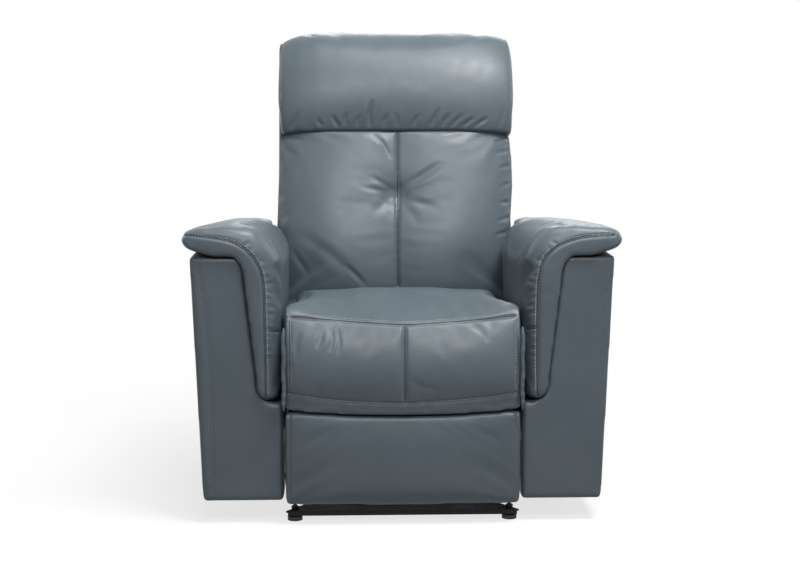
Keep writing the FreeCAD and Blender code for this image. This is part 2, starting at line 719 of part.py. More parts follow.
def footrest_link_c():
    x0, x1 = layer(2)
    shape = bar_x(x0, x1, Q1, R_ON_B, LINK_R).fuse(bar_x(x0, x1, R_ON_B, S_ON_A2, LINK_R))
    shape = shape.cut(rod_x(x0 - 1, x1 + 1, Q1, LINK_PIN + PIVOT_PLAY))
    shape = shape.cut(rod_x(x0 - 1, x1 + 1, R_ON_B, LINK_PIN + R_SLACK))
    return shape.fuse(rod_x(layer(3)[0], x0 + 1, S_ON_A2, LINK_PIN)).removeSplitter()


def footrest_link_d():
    x0, x1 = layer(3)
    shape = bar_x(x0, x1, S_ON_A2, T_ON_PANEL, LINK_R)
    shape = shape.cut(rod_x(x0 - 1, x1 + 1, S_ON_A2, LINK_PIN + PIVOT_PLAY))
    return shape.cut(rod_x(x0 - 1, x1 + 1, T_ON_PANEL, LINK_PIN + T_SLACK))


def footrest_bracket():
    x0, x1 = layer(4)
    d = PANEL_BACK
    path = [(d, P3[1] - 56), (d, P3[1] + 26), (T_ON_PANEL[0] + 3, T_ON_PANEL[1] + 11)]
    path += [(T_ON_PANEL[0] + 11, T_ON_PANEL[1]), (T_ON_PANEL[0] + 3, T_ON_PANEL[1] - 11)]
    path.append((P3[0], P3[1] - 16))
    shape = prism_x(x0, x1, path)
    shape = shape.fuse(box(x0 - 24, x1, d, d + 3, P3[1] - 56, P3[1] + 26))
    shape = shape.fuse(rod_x(x1 - 1, layer(1)[1], P3, LINK_PIN))
    return shape.fuse(rod_x(x1 - 1, layer(3)[1], T_ON_PANEL, LINK_PIN)).removeSplitter()


def footrest_board():
    half = PANEL_HALF - 6
    return box(-half, half, PANEL_BACK - BOARD_T, PANEL_BACK, PANEL_LOW + 8, PANEL_TOP - 8)


def pad_profile(x, inset, rise):
    back = PANEL_BACK - BOARD_T
    f = PANEL_FRONT + inset
    low = PANEL_LOW + inset
    top = PANEL_TOP + rise - inset
    path = [(back, low + 2), (back, top - 2), (f + 12, top - 4, f + 2, top - 30)]
    path.append((f, (low + top) / 2, f + 2, low + 26))
    path.append((f + 10, low + 4, back, low + 2))
    return outline(path, lambda d, z: at(x, d, z))


def footrest_pad():
    # the top edge follows the curve of the seat lip above it
    wires = [pad_profile(x, 8 * t ** 8, LIP_RISE * t ** 2) for x, t in stations(PANEL_HALF)]
    return Part.makeLoft(wires, True, True)


def build_base():
    bar = base_bar()
    save("base_front_bar", bar)
    save("base_rear_bar", to_rear(bar))
    save_pair("base_rail", base_rail())
    one = foot()
    save_pair("foot_front", one)
    save_pair("foot_rear", to_rear(one))
    nut = lock_nut()
    nuts = [nut, mirrored(nut), to_rear(nut), mirrored(to_rear(nut))]
    save("foot_lock_nuts", Part.makeCompound(nuts))
    save("swivel_base_plate", swivel_base_plate())
    save("king_bolt", king_bolt())
    save("swivel_top_plate", swivel_top_plate())


def build_glider():
    for name, d in zip(("front", "rear"), GLIDE_D):
        save("glider_bracket_" + name, glider_bracket(d))
        save_pair("glide_link_" + name, glide_link(d))


def build_seat():
    save_pair("side_plate", side_plate())
    save("chassis_tube_front", chassis_tube(GLIDE_D[0] + TUBE_BEHIND))
    save("chassis_tube_rear", chassis_tube(GLIDE_D[1] - TUBE_AHEAD))
    save("seat_frame", seat_frame())
    save("seat_webbing", seat_webbing())
    save("seat_cushion", seat_cushion())


def build_arms():
    cover = arm_cover().cut(cable_hole(LEDGE_X - 1, LEDGE_X + ARM_WALL + 1))
    save("arm_cover_right", cover)
    cup_hole = rod_x(CUP_X0, ARM_OUT_TOP + 10, (CUP_D, CUP_Z), CUP_R + PIVOT_PLAY)
    save("arm_cover_left", mirrored(cover.cut(cup_hole)))
    frame = arm_frame().cut(cable_hole(LEDGE_X, LEDGE_X + ARM_WALL + BOARD_T + 1))
    save_pair("arm_frame", frame)
    save_pair("arm_pad", arm_pad())
    save_pair("arm_bracket", arm_bracket().cut(cable_hole(LEDGE_X - 4, LEDGE_X + 1)))
    save("release_cup", mirrored(release_cup()))
    save("release_lever", mirrored(release_lever()))
    save("release_cable", mirrored(release_cable()))
    save("latch_housing", mirrored(latch_housing()))


def build_back():
    save_pair("back_bracket", back_bracket())
    save("back_frame", back_frame())
    save("back_webbing", back_webbing())
    save("back_cushion", back_cushion())
    save("head_cushion", head_cushion())
    save("back_outer_shell", back_outer_shell())


def build_footrest():
    save_pair("footrest_link_a", footrest_link_a())
    save_pair("footrest_link_b", footrest_link_b())
    save_pair("footrest_link_c", footrest_link_c())
    save_pair("footrest_link_d", footrest_link_d())
    save_pair("footrest_bracket", footrest_bracket())
    save("footrest_board", footrest_board())
    save("footrest_pad", footrest_pad())


build_base()
build_glider()
build_seat()
build_arms()
build_back()
build_footrest()
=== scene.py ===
# %% [markdown]
# A leather recliner, dressed for rendering.
# The mechanism, the frames and the joints come packed from the CAD step. This lesson hides the plain
# soft solids and sews leather cushions in their place, then adds seams, stitches, finishes, light and camera.

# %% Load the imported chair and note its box
import json
import math
import bpy
import numpy as np
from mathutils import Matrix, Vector
from mathutils.bvhtree import BVHTree


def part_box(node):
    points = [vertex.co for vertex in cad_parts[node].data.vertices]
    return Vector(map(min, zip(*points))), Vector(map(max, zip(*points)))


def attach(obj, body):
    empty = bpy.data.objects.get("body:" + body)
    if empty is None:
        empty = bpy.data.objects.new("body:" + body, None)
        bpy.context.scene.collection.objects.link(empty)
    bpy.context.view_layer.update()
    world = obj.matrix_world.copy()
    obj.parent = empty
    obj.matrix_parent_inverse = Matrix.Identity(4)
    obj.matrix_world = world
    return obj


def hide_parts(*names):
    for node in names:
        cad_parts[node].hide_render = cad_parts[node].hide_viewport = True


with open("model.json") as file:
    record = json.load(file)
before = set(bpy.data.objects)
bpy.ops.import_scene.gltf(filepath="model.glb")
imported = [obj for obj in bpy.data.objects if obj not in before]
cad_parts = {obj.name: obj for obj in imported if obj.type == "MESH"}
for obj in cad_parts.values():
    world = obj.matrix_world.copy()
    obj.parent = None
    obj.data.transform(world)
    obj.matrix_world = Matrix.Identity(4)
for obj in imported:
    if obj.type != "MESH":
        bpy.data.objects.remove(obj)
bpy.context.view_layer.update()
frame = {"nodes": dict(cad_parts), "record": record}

SEAT_FRONT_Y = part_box("seat_cushion")[0][1]

# %% [markdown]
# The chair is described from the side by two numbers, as an upholsterer would: how far behind the seat
# front a point lies, and how high. One small function turns them into the frame's metres, so that later
# numbers are real sizes in millimetres.

# %% From workshop sizes to the frame
MM = 0.001


def chair(x, d, z):
    return np.stack(np.broadcast_arrays(x * MM, SEAT_FRONT_Y + d * MM, z * MM), -1)


print("the seat front is at", chair(0.0, 0.0, 350.0).round(3))

# %% [markdown]
# The leather is a semi-gloss blue-grey hide. Its look has three parts: a slow drift of tone, a fine pebble
# grain that only catches the light, and a sheen that changes a little from place to place. Noise and
# Voronoi textures in object space give all three without pictures, so the grain keeps its real scale.

# %% Node helpers for the finishes
def new_material(name):
    mat = bpy.data.materials.new(name)
    mat.use_nodes = True
    nodes = mat.node_tree.nodes
    return mat, nodes, mat.node_tree.links, nodes["Principled BSDF"]


def texture(nodes, links, kind, scale, **settings):
    coord = nodes.get("Texture Coordinate") or nodes.new("ShaderNodeTexCoord")
    tex = nodes.new(kind)
    tex.inputs["Scale"].default_value = scale
    for key, value in settings.items():
        tex.inputs[key].default_value = value
    links.new(coord.outputs["Object"], tex.inputs["Vector"])
    return tex


def ramp(nodes, links, source, low, high, start=0.3, end=0.7):
    node = nodes.new("ShaderNodeValToRGB")
    node.color_ramp.elements[0].position = start
    node.color_ramp.elements[1].position = end
    node.color_ramp.elements[0].color = (*low, 1.0)
    node.color_ramp.elements[1].color = (*high, 1.0)
    links.new(source, node.inputs["Fac"])
    return node


def bump(nodes, links, height, strength, distance, below=None):
    node = nodes.new("ShaderNodeBump")
    node.inputs["Strength"].default_value = strength
    node.inputs["Distance"].default_value = distance
    links.new(height, node.inputs["Height"])
    if below is not None:
        links.new(below, node.inputs["Normal"])
    return node.outputs["Normal"]


def grey(level):
    return (level, level, level)


# %% The leather
def leather_finish(name, dark, light):
    mat, nodes, links, skin = new_material(name)
    drift = texture(nodes, links, "ShaderNodeTexNoise", 7.0, Detail=4.0, Roughness=0.55)
    tone = ramp(nodes, links, drift.outputs["Fac"], dark, light)
    links.new(tone.outputs["Color"], skin.inputs["Base Color"])
    polish = texture(nodes, links, "ShaderNodeTexNoise", 38.0, Detail=3.0)
    gloss = ramp(nodes, links, polish.outputs["Fac"], grey(0.36), grey(0.44))
    links.new(gloss.outputs["Color"], skin.inputs["Roughness"])
    pebble = texture(nodes, links, "ShaderNodeTexVoronoi", 430.0)
    pores = texture(nodes, links, "ShaderNodeTexNoise", 900.0, Detail=2.0)
    handle = texture(nodes, links, "ShaderNodeTexNoise", 24.0, Detail=2.0)
    soft = bump(nodes, links, handle.outputs["Fac"], 0.25, 0.0022)
    grain = bump(nodes, links, pebble.outputs["Distance"], 0.22, 0.0005, soft)
    links.new(bump(nodes, links, pores.outputs["Fac"], 0.1, 0.0003, grain), skin.inputs["Normal"])
    skin.inputs["Specular IOR Level"].default_value = 0.4
    return mat


LEATHER = leather_finish("blue_grey_leather", (0.065, 0.086, 0.102), (0.079, 0.102, 0.120))
# SEAM_SHADE is nearly black leather. It is painted shade, laid along seams where the shadow of each seam's
# groove falls.
SEAM_SHADE = leather_finish("painted_seam_shade", (0.014, 0.018, 0.022), (0.022, 0.027, 0.032))
print("leather ready:", LEATHER.name, "and", SEAM_SHADE.name)

# %% [markdown]
# The thread is a bonded twist: pale on the cushions, and nearly the leather's own tone on the arms and the
# footrest. The metal, wood, webbing and plastic pieces come straight from the CAD model. Their shapes are
# right, so each only needs a finish with some life in it. Zinc pieces near the floor are blackened.


# %% Thread and hardware finishes
def plain_finish(name, dark, light, scale, rough, metallic=0.0, grain=0.0, stretch=None, gloss=0.5):
    mat, nodes, links, skin = new_material(name)
    spots = texture(nodes, links, "ShaderNodeTexNoise", scale, Detail=5.0)
    if stretch:
        place = nodes.new("ShaderNodeMapping")
        place.inputs["Scale"].default_value = stretch
        links.new(nodes["Texture Coordinate"].outputs["Object"], place.inputs["Vector"])
        links.new(place.outputs["Vector"], spots.inputs["Vector"])
    tone = ramp(nodes, links, spots.outputs["Fac"], dark, light)
    links.new(tone.outputs["Color"], skin.inputs["Base Color"])
    worn = ramp(nodes, links, spots.outputs["Fac"], grey(rough - 0.06), grey(rough + 0.06))
    links.new(worn.outputs["Color"], skin.inputs["Roughness"])
    skin.inputs["Metallic"].default_value = metallic
    skin.inputs["Specular IOR Level"].default_value = gloss
    if grain:
        links.new(bump(nodes, links, spots.outputs["Fac"], 0.3, grain), skin.inputs["Normal"])
    return mat


THREAD = plain_finish(
    "bonded_thread", (0.30, 0.345, 0.37), (0.40, 0.45, 0.48), 700.0, 0.62, grain=0.0004)
DULL_THREAD = plain_finish(
    "dull_thread", (0.085, 0.105, 0.12), (0.12, 0.145, 0.16), 700.0, 0.66, grain=0.0004)
FINISHES = {
    "leather": LEATHER,
    "frame_wood": plain_finish(
        "frame_wood", (0.40, 0.27, 0.15), (0.55, 0.40, 0.25), 14.0, 0.62, grain=0.0006, stretch=(1, 9, 9)),
    "webbing": plain_finish(
        "woven_webbing", (0.02, 0.02, 0.022), (0.06, 0.06, 0.065), 420.0, 0.85, grain=0.0008),
    "black_plastic": plain_finish(
        "moulded_plastic", (0.016, 0.017, 0.019), (0.024, 0.025, 0.028), 260.0, 0.5, grain=0.0002),
    "foot_rubber": plain_finish(
        "foot_rubber", (0.012, 0.013, 0.014), (0.02, 0.021, 0.023), 180.0, 0.6, grain=0.0003),
    "zinc_steel": plain_finish(
        "zinc_steel", (0.42, 0.42, 0.43), (0.58, 0.58, 0.59), 60.0, 0.36, metallic=0.9, grain=0.0001),
    "black_steel": plain_finish(
        "black_steel", (0.006, 0.008, 0.010), (0.012, 0.014, 0.018), 90.0, 0.5, grain=0.0002, gloss=0.2),
}
LOW_METAL_TOP = 0.1
for row in frame["record"]["subparts"]:
    node = frame["nodes"][row["node"]]
    blackened = row["material_slot"] == "zinc_steel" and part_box(row["node"])[1][2] < LOW_METAL_TOP
    node.data.materials.clear()
    node.data.materials.append(FINISHES["black_steel" if blackened else row["material_slot"]])

# %% [markdown]
# The camera comes next, because seams will be drawn as they are seen from in front of the chair. It stands
# nearly four metres away with a long lens, so the lines of the chair stay almost parallel. A sight line
# through a picture point then finds the place on a cushion where a seam runs.

# %% Camera and sight lines
EYE = Vector((-0.118, -3.767, 0.95))
LOOK_DOWN, LOOK_ASIDE = 7.61, -1.90
FRAME_W, FRAME_H = 800, 582
lens = bpy.data.cameras.new("front_camera")
lens.lens = 72.95
lens.sensor_width = 36.0
camera = bpy.data.objects.new("front_camera", lens)
camera.location = EYE
camera.rotation_euler = (math.radians(90 - LOOK_DOWN), 0, math.radians(LOOK_ASIDE))
bpy.context.scene.collection.objects.link(camera)
bpy.context.scene.camera = camera
FOCAL = lens.lens / lens.sensor_width * FRAME_W
LOOK = camera.rotation_euler.to_matrix()


def sight(px, py):
    return (LOOK @ Vector(((px - FRAME_W / 2) / FOCAL, (FRAME_H / 2 - py) / FOCAL, -1.0))).normalized()


print("focal length in picture points", round(FOCAL))

# %% [markdown]
# Each cushion begins as a copy of its plain CAD solid, so that it is the right size and in the right place.
# A voxel remesh turns that solid into an even skin of small squares, which cloth and folds need. A few rounds
# of smoothing, moving every point towards its neighbours, take the hard CAD edges off.


# %% From a CAD solid to an even skin
def baked(obj):
    graph = bpy.context.evaluated_depsgraph_get()
    mesh = bpy.data.meshes.new_from_object(obj.evaluated_get(graph))
    old = obj.data
    obj.modifiers.clear()
    obj.data = mesh
    bpy.data.meshes.remove(old)
    mesh.name = obj.name
    return obj


def points_of(obj):
    co = np.empty(len(obj.data.vertices) * 3)
    obj.data.vertices.foreach_get("co", co)
    return co.reshape(-1, 3)


def set_points(obj, co):
    obj.data.vertices.foreach_set("co", co.astype(np.float32).ravel())
    obj.data.update()


def normals_of(obj):
    no = np.empty(len(obj.data.vertices) * 3, np.float32)
    obj.data.vertices.foreach_get("normal", no)
    return no.reshape(-1, 3).astype(float)


def neighbour_mean(obj, values):
    pairs = np.empty(len(obj.data.edges) * 2, np.int32)
    obj.data.edges.foreach_get("vertices", pairs)
    a, b = pairs.reshape(-1, 2).T
    ends, others = np.concatenate([a, b]), np.concatenate([b, a])
    count = np.maximum(np.bincount(ends, minlength=len(values)), 1)
    total = [np.bincount(ends, values[others, k], minlength=len(values)) for k in range(values.shape[1])]
    return np.stack(total, 1) / count[:, None]


def relax(obj, times, amount=0.5):
    co = points_of(obj)
    for _ in range(times):
        co += amount * (neighbour_mean(obj, co) - co)
    set_points(obj, co)


def skin_from(node, name, voxel=6.0, times=4):
    obj = bpy.data.objects.new(name, frame["nodes"][node].data.copy())
    bpy.context.scene.collection.objects.link(obj)
    mod = obj.modifiers.new("even", "REMESH")
    mod.mode = "VOXEL"
    mod.voxel_size = voxel * MM
    baked(obj)
    relax(obj, times)
    return obj


def finer(obj):
    obj.modifiers.new("finer", "SUBSURF").levels = 1
    return baked(obj)


# %% [markdown]
# A seam is where two pieces of leather are sewn and the padding is pulled down, so the surface dips along
# a line. A fold or pucker is the same dip, only softer and tapering to nothing. One function presses such
# a line into a cushion: every point moves along its normal, less and less with the distance from the line.


# %% Drawing lines on a cushion and pressing them in
def smooth_path(points, count=60):
    p = np.array(points, float)
    t = np.concatenate([[0], np.cumsum(np.linalg.norm(np.diff(p, axis=0), axis=1))])
    s = np.linspace(0, t[-1], count)
    q = np.stack([np.interp(s, t, p[:, k]) for k in range(p.shape[1])], 1)
    for _ in range(count // 10):
        q[1:-1] = (q[:-2] + 2 * q[1:-1] + q[2:]) / 4
    return q


def cast(obj, starts, aims):
    tree = BVHTree.FromObject(obj, bpy.context.evaluated_depsgraph_get())
    hits, normals = [], []
    for start, aim in zip(starts, aims):
        hit, normal, _, _ = tree.ray_cast(start, aim)
        if hit is not None:
            hits.append(hit)
            normals.append(normal)
    return np.array(hits), np.array(normals)


def seen_line(obj, picture_points, count=60):
    path = smooth_path(picture_points, count)
    return cast(obj, [EYE] * len(path), [sight(*p) for p in path])


def line_distance(co, path):
    best = np.full(len(co), 1e9)
    along = np.zeros(len(co))
    lengths = np.linalg.norm(np.diff(path, axis=0), axis=1)
    start = np.concatenate([[0], np.cumsum(lengths)])
    for k in range(len(path) - 1):
        seg = path[k + 1] - path[k]
        t = np.clip((co - path[k]) @ seg / max(seg @ seg, 1e-12), 0, 1)
        dist = np.linalg.norm(co - path[k] - t[:, None] * seg, axis=1)
        near = dist < best
        best[near] = dist[near]
        along[near] = (start[k] + t * lengths[k])[near] / start[-1]
    return best, along


def press(obj, path, width, depth, taper=0.0, rise=0.0):
    if len(path) < 2:
        print(obj.name, "has no surface under one line")
        return
    co = points_of(obj)
    width, depth = width * MM, depth * MM
    inside = np.all((co > path.min(0) - 4 * width) & (co < path.max(0) + 4 * width), axis=1)
    dist, along = line_distance(co[inside], path)
    amount = np.exp(-(dist / width) ** 2) - rise * np.exp(-((dist - 2 * width) / width) ** 2)
    if taper:
        amount *= np.clip(np.minimum(along, 1 - along) / taper, 0, 1) ** 0.7
    co[inside] -= depth * amount[:, None] * normals_of(obj)[inside]
    set_points(obj, co)


def fold(obj, picture_points, width, depth, rise=0.25):
    path, _ = seen_line(obj, picture_points, 24)
    press(obj, path, width, depth, 0.45, rise)


# %% [markdown]
# Stitches are short twists of thread lying in a row on the leather. Each one is a small spindle: round in
# section, thick in the middle, and dipping into the leather at both ends. A whole row is one mesh. A cord
# is a thin tube laid on the leather along the same kind of path, and so is a near-black strip of painted
# shade along a seam, which stands in for the shadow in the seam's groove.


# %% A row of stitches
SIDES = 6
TURN = [(math.cos(2 * math.pi * k / SIDES), math.sin(2 * math.pi * k / SIDES)) for k in range(SIDES)]
SPINDLE = ((-1, 0.35, -0.5), (-0.5, 0.9, 0.35), (0, 1.0, 0.55), (0.5, 0.9, 0.35), (1, 0.35, -0.5))


def mesh_object(name, points, faces):
    mesh = bpy.data.meshes.new(name)
    mesh.from_pydata([tuple(p) for p in points], [], faces)
    mesh.update()
    obj = bpy.data.objects.new(name, mesh)
    bpy.context.scene.collection.objects.link(obj)
    return obj


def tube_faces(base, rings, sides):
    faces = []
    for k in range(rings - 1):
        i, j = base + k * sides, base + (k + 1) * sides
        faces += [(i + q, i + (q + 1) % sides, j + (q + 1) % sides, j + q) for q in range(sides)]
    end = base + (rings - 1) * sides
    return faces + [tuple(reversed(range(base, base + sides))), tuple(range(end, end + sides))]


def stitch_row(name, path, normals, pitch=6.4, length=4.6, radius=0.7):
    reach = np.concatenate([[0], np.cumsum(np.linalg.norm(np.diff(path, axis=0), axis=1))])
    half = length * MM / 2
    points, faces = [], []
    for s in np.arange(pitch / 2, reach[-1] / MM - pitch / 2, pitch) * MM:
        a, m, b = ([np.interp(s + e, reach, path[:, k]) for k in range(3)] for e in (-half, 0, half))
        up = Vector([np.interp(s, reach, normals[:, k]) for k in range(3)]).normalized()
        run = (Vector(b) - Vector(a)).normalized()
        side = run.cross(up)
        faces += tube_faces(len(points), len(SPINDLE), SIDES)
        for t, size, lift in SPINDLE:
            middle = Vector(m) + run * t * half + up * lift * radius * MM
            points += [middle + (side * c + up * v) * size * radius * MM for c, v in TURN]
    return mesh_object(name, points, faces)


# %% Dressing, sewing and cording
def dress(obj, body, material):
    obj.data.materials.clear()
    obj.data.materials.append(material)
    obj.data.polygons.foreach_set("use_smooth", np.ones(len(obj.data.polygons), bool))
    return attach(obj, body)


def sew(name, obj, body, picture_points, count=80, thread=THREAD, **size):
    path, normals = seen_line(obj, picture_points, count)
    print(name, "lies on", len(path), "of", count, "points")
    return dress(stitch_row(name, path, normals, **size), body, thread)


def shifted(points, dx, dy):
    return [(x + dx, y + dy) for x, y in points]


def cording(name, obj, body, picture_points, radius=1.6, lift=0.4, count=110, skin=LEATHER):
    path, normals = seen_line(obj, picture_points, count)
    points = []
    for p, n, r in zip(path, normals, np.gradient(path, axis=0)):
        side = Vector(np.cross(r, n)).normalized()
        up = Vector(n).normalized()
        middle = Vector(p) + up * lift * radius * MM
        points += [middle + (side * c + up * v) * radius * MM for c, v in TURN]
    faces = tube_faces(0, len(path), SIDES)
    return dress(mesh_object(name, points, faces), body, skin)


# A thin near-black tube along a seam: painted shade standing in for the shadow in the seam's groove.
def seam_shade_line(name, obj, body, picture_points, radius=1.1):
    return cording(name, obj, body, picture_points, radius, 0.0, 90, SEAM_SHADE)


def cushion(obj, body, node):
    dress(obj, body, LEATHER)
    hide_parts(node)
    print(obj.name, "points", len(obj.data.vertices), "stands for", node)


# %% [markdown]
# Foam under leather pushes outwards everywhere except where a seam or the frame holds it. The cloth
# simulation does just that: the held points are pinned, a gentle pressure swells the rest, and a slightly
# over-large skin gathers into small wrinkles beside the seams. A cap limits the swelling. Afterwards the
# cushion is stretched back to the box of its solid, and local changes fade in and out by distance.


# %% Swelling a cushion with cloth
def swell(obj, held, pressure=4.0, slack=0.004, frames=14, cap=12.0):
    start = points_of(obj)
    group = obj.vertex_groups.new(name="held")
    group.add(np.nonzero(held)[0].tolist(), 1.0, "REPLACE")
    mod = obj.modifiers.new("swell", "CLOTH")
    cloth = mod.settings
    cloth.quality = 4
    cloth.mass = 0.25
    cloth.tension_stiffness = cloth.compression_stiffness = 14.0
    cloth.shear_stiffness = 6.0
    cloth.bending_stiffness = 2.0
    cloth.vertex_group_mass = "held"
    cloth.use_pressure = True
    cloth.uniform_pressure_force = pressure
    cloth.shrink_min = -slack
    cloth.effector_weights.gravity = 0.0
    mod.collision_settings.use_collision = False
    mod.point_cache.frame_end = frames
    for k in range(1, frames + 1):
        bpy.context.scene.frame_set(k)
    graph = bpy.context.evaluated_depsgraph_get()
    after = bpy.data.meshes.new_from_object(obj.evaluated_get(graph))
    co = np.empty(len(after.vertices) * 3)
    after.vertices.foreach_get("co", co)
    bpy.data.meshes.remove(after)
    obj.modifiers.remove(mod)
    obj.vertex_groups.clear()
    bpy.context.scene.frame_set(1)
    move = co.reshape(-1, 3) - start
    size = np.linalg.norm(move, axis=1)
    limit = cap * MM
    move *= (limit * np.tanh(size / limit) / np.maximum(size, 1e-9))[:, None]
    set_points(obj, start + move)
    print(obj.name, "swelled by up to", round(float(size.max() / MM), 1), "mm before the cap")


# %% Keeping a cushion in its room
def draw_in(obj, held, depth):
    free = (~held).astype(float)[:, None]
    for _ in range(4):
        free = 0.5 * free + 0.5 * neighbour_mean(obj, free)
    set_points(obj, points_of(obj) - depth * MM * free * normals_of(obj))


def keep_between(obj, axis, low, high, ease=8.0):
    co = points_of(obj)
    v = co[:, axis] / MM
    v = np.where(v > high - ease, high - ease + ease * np.tanh((v - high + ease) / ease), v)
    v = np.where(v < low + ease, low + ease + ease * np.tanh((v - low - ease) / ease), v)
    co[:, axis] = v * MM
    set_points(obj, co)


def fill_box(obj, node, axes=(0, 1, 2)):
    co = points_of(obj)
    low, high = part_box(node)
    for k in axes:
        a, b = co[:, k].min(), co[:, k].max()
        co[:, k] = low[k] + (co[:, k] - a) * (high[k] - low[k]) / (b - a)
    set_points(obj, co)


def fade(values, start, end):
    return np.clip((values - start) / (end - start), 0, 1)


def near_lines(obj, lines, reach):
    co = points_of(obj)
    held = np.zeros(len(co), bool)
    for path in lines:
        held |= line_distance(co, path)[0] < reach * MM
    return held


# %% [markdown]
# The seat is one thick crowned cushion. Its front turns down into an apron: a V-shaped seam divides top from
# apron, a short upright seam divides the apron, and a curved row of stitches holds the lip at the bottom.
# The seams are drawn first and held during the swelling, so the leather puffs up between them.

# %% Seat cushion
TOP_SEAM = [(284, 316.6), (320, 318.5), (353, 321.6), (405, 324.8), (453, 321.6), (492, 318), (521, 314.6)]
LIP_SEAM = [(283, 393.8), (320, 399.2), (353, 402.4), (405, 404.2), (469, 399.7), (500, 396), (523, 392.6)]
APRON_SEAM = [(404.6, 326), (404.8, 360), (405, 402)]
SEAT_EDGES = {
    "left": [(289.0, 320), (289.2, 350), (289.6, 392)],
    "right": [(517.2, 318), (517.6, 350), (517.2, 391)],
}
SEAT_ROOM, SEAT_HALF = 251.0, 249.0


def widen_front(obj, half, deep=45.0, fading=90.0):
    co = points_of(obj)
    behind = (co[:, 1] - co[:, 1].min()) / MM
    reach = np.abs(co[behind < deep, 0]).max() / MM
    co[:, 0] *= 1 + (half / reach - 1) * (1 - fade(behind, deep, deep + fading))
    print(obj.name, "front widened from", round(reach, 1), "to", half, "mm each side")
    set_points(obj, co)


def round_nose(obj, amount=22.0, start=285.0, height=130.0, deep=160.0):
    co = points_of(obj)
    behind = (co[:, 1] - SEAT_FRONT_Y) / MM
    t = np.clip((co[:, 2] / MM - start) / height, 0, 1.2)
    co[:, 1] += amount * MM * t ** 2 * (1 - fade(behind, 0.0, deep))
    set_points(obj, co)


def fill_sides(obj, front=8.0, rear=26.0, inner=120.0, outer=235.0, low=350.0, high=420.0):
    co = points_of(obj)
    behind = (co[:, 1] - SEAT_FRONT_Y) / MM
    amount = front + (rear - front) * fade(behind, 30.0, 120.0)
    out = fade(np.abs(co[:, 0]) / MM, inner, outer)
    co[:, 2] += amount * MM * out ** 1.5 * fade(co[:, 2] / MM, low, high)
    set_points(obj, co)


def set_low_edge(obj, middle, rise, deep, reach, half=240.0, count=36, strip=12.0, fading=40.0):
    co = points_of(obj)
    x, z, behind = co[:, 0] / MM, co[:, 2] / MM, (co[:, 1] - co[:, 1].min()) / MM
    places = np.linspace(-half, half, count)
    low = np.array([z[(behind < deep) & (np.abs(x - p) < strip)].min() for p in places])
    now = np.interp(x, places, low)
    near = (1 - fade(behind, deep, deep + fading)) * (1 - fade(z - now, 0.0, reach))
    co[:, 2] -= (now - middle - rise * (x / SEAT_HALF) ** 2) * near * MM
    set_points(obj, co)


# %% Making the seat
seat = skin_from("seat_cushion", "seat_leather", 6.0, 5)
facing = normals_of(seat)
framed = (facing[:, 2] < -0.5) | (facing[:, 1] > 0.6)
draw_in(seat, framed, 5.0)
seat_lines = [seen_line(seat, row)[0] for row in (TOP_SEAM, LIP_SEAM, APRON_SEAM)]
swell(seat, framed | near_lines(seat, seat_lines, 3.2), cap=14.0)
relax(seat, 2)
fill_box(seat, "seat_cushion")
widen_front(seat, 254.0)
keep_between(seat, 0, -SEAT_ROOM, SEAT_ROOM)
round_nose(seat)
fill_sides(seat)
set_low_edge(seat, 238.5, 10.0, 32.0, 60.0)
finer(seat)
for row, width, depth in ((TOP_SEAM, 4.5, 5.0), (LIP_SEAM, 3.5, 2.6), (APRON_SEAM, 4.0, 4.4)):
    press(seat, seen_line(seat, row)[0], width, depth, 0.02)

# %% Folds and stitches of the seat
SEAT_FOLDS = (
    ([(331, 328), (333, 340), (330, 352)], 5.0, 2.2),
    ([(337, 327), (339, 342), (338, 356)], 5.0, 1.8),
    ([(322, 330), (320, 341), (316, 349)], 6.0, 1.6),
    ([(474, 326), (482, 332), (488, 342)], 6.0, 1.4),
    ([(300, 330), (296, 345), (297, 362)], 6.0, 1.2),
    ([(410, 380), (425, 388), (440, 390)], 7.0, 1.0),
)
EDGE_INSET = 1.6
for points, width, depth in SEAT_FOLDS:
    fold(seat, points, width, depth)
for side, edge in SEAT_EDGES.items():
    press(seat, seen_line(seat, edge)[0], 2.6, 1.6, 0.05)
    inset = EDGE_INSET if side == "left" else -EDGE_INSET
    sew("seat_edge_stitches_" + side, seat, "chassis", shifted(edge, inset, 0))
# Near-black tubes along the top seam and the apron seam: painted shade for the shadow in their grooves.
seam_shade_line("seat_top_seam_shade", seat, "chassis", TOP_SEAM)
seam_shade_line("seat_apron_seam_shade", seat, "chassis", APRON_SEAM)
sew("seat_top_stitches", seat, "chassis", shifted(TOP_SEAM, 0, -2.6), 120)
sew("seat_lip_stitches", seat, "chassis", shifted(LIP_SEAM, 0, -0.4), 120, radius=0.9)
cushion(seat, "chassis", "seat_cushion")

# %% [markdown]
# At each side of the seat front the leather of the side wall shows as a narrow, gathered edge. It is a bent
# roll whose thickness rises and falls, so its outline is wavy. It hangs in front of the arm pads and touches
# neither of them.

# %% Gathered side edges of the seat
FINE_SIDES = 14
FINE_ANGLES = [2 * math.pi * k / FINE_SIDES for k in range(FINE_SIDES)]
TURN_FINE = [(math.cos(angle), math.sin(angle)) for angle in FINE_ANGLES]
EDGE_X, EDGE_BEHIND, EDGE_LOW, EDGE_TALL = 250.8, 15.0, 250.0, 176.0
EDGE_THICK, EDGE_WAVE = 4.6, 0.6


